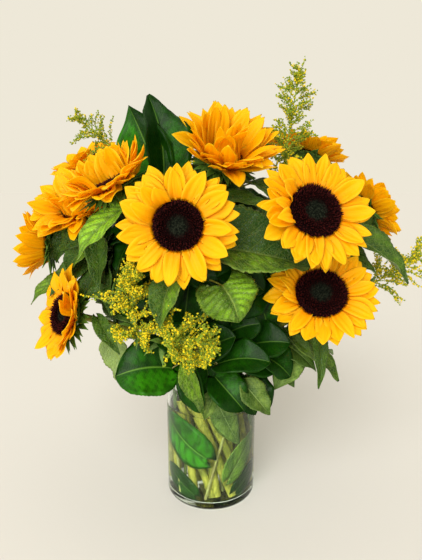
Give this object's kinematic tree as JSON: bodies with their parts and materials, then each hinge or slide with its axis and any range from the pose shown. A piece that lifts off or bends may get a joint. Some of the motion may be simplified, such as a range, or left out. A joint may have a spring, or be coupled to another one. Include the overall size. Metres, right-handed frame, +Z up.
{
  "type": "sunflowers in a glass vase",
  "caption": "Round bouquet of open sunflowers with goldenrod sprays and broad leaves, standing in a clear straight-sided glass vase of water.",
  "frame": {"origin": "middle of the vase's flat underside", "axes": "+Z up along the vase, -Y towards the front of the bouquet, +X to the right seen from the front"},
  "size_m": [0.5223, 0.3213, 0.5521],
  "materials": {
    "vase_glass": "clear",
    "water": "clear liquid",
    "petal": "soft matte",
    "seed_disc": "rough matte",
    "sunflower_green": "matte, finely hairy",
    "dark_leaf": "glossy leaf",
    "olive_leaf": "matte leaf",
    "goldenrod_green": "matte",
    "goldenrod_yellow": "fine matte florets"
  },
  "bodies": {
    "root": {"vase": "vase_glass", "water": "water", "front_rays": "petal", "front_disc": "seed_disc", "front_stem": "sunflower_green", "right_upper_rays": "petal", "right_upper_disc": "seed_disc", "right_upper_stem": "sunflower_green", "right_lower_rays": "petal", "right_lower_disc": "seed_disc", "right_lower_stem": "sunflower_green", "left_upper_rays": "petal", "left_upper_disc": "seed_disc", "left_upper_stem": "sunflower_green", "left_high_rays": "petal", "left_high_disc": "seed_disc", "left_high_stem": "sunflower_green", "far_left_rays": "petal", "far_left_disc": "seed_disc", "far_left_stem": "sunflower_green", "left_lower_rays": "petal", "left_lower_disc": "seed_disc", "left_lower_stem": "sunflower_green", "top_rays": "petal", "top_disc": "seed_disc", "top_stem": "sunflower_green", "top_back_rays": "petal", "top_back_disc": "seed_disc", "top_back_stem": "sunflower_green", "right_back_rays": "petal", "right_back_disc": "seed_disc", "right_back_stem": "sunflower_green", "right_far_rays": "petal", "right_far_disc": "seed_disc", "right_far_stem": "sunflower_green", "left_back_rays": "petal", "left_back_disc": "seed_disc", "left_back_stem": "sunflower_green", "collar_front": "dark_leaf", "collar_right": "dark_leaf", "collar_side": "olive_leaf", "upright_leaf": "dark_leaf", "collar_left": "olive_leaf", "back_right": "dark_leaf", "back_left": "dark_leaf", "goldenrod_front_left_stem": "goldenrod_green", "goldenrod_front_left_plume": "goldenrod_yellow", "goldenrod_front_stem": "goldenrod_green", "goldenrod_front_plume": "goldenrod_yellow", "goldenrod_tall_stem": "goldenrod_green", "goldenrod_tall_plume": "goldenrod_yellow", "goldenrod_top_left_stem": "goldenrod_green", "goldenrod_top_left_plume": "goldenrod_yellow", "goldenrod_right_stem": "goldenrod_green", "goldenrod_right_plume": "goldenrod_yellow", "goldenrod_back_stem": "goldenrod_green", "goldenrod_back_plume": "goldenrod_yellow"}
  },
  "joints": []
}
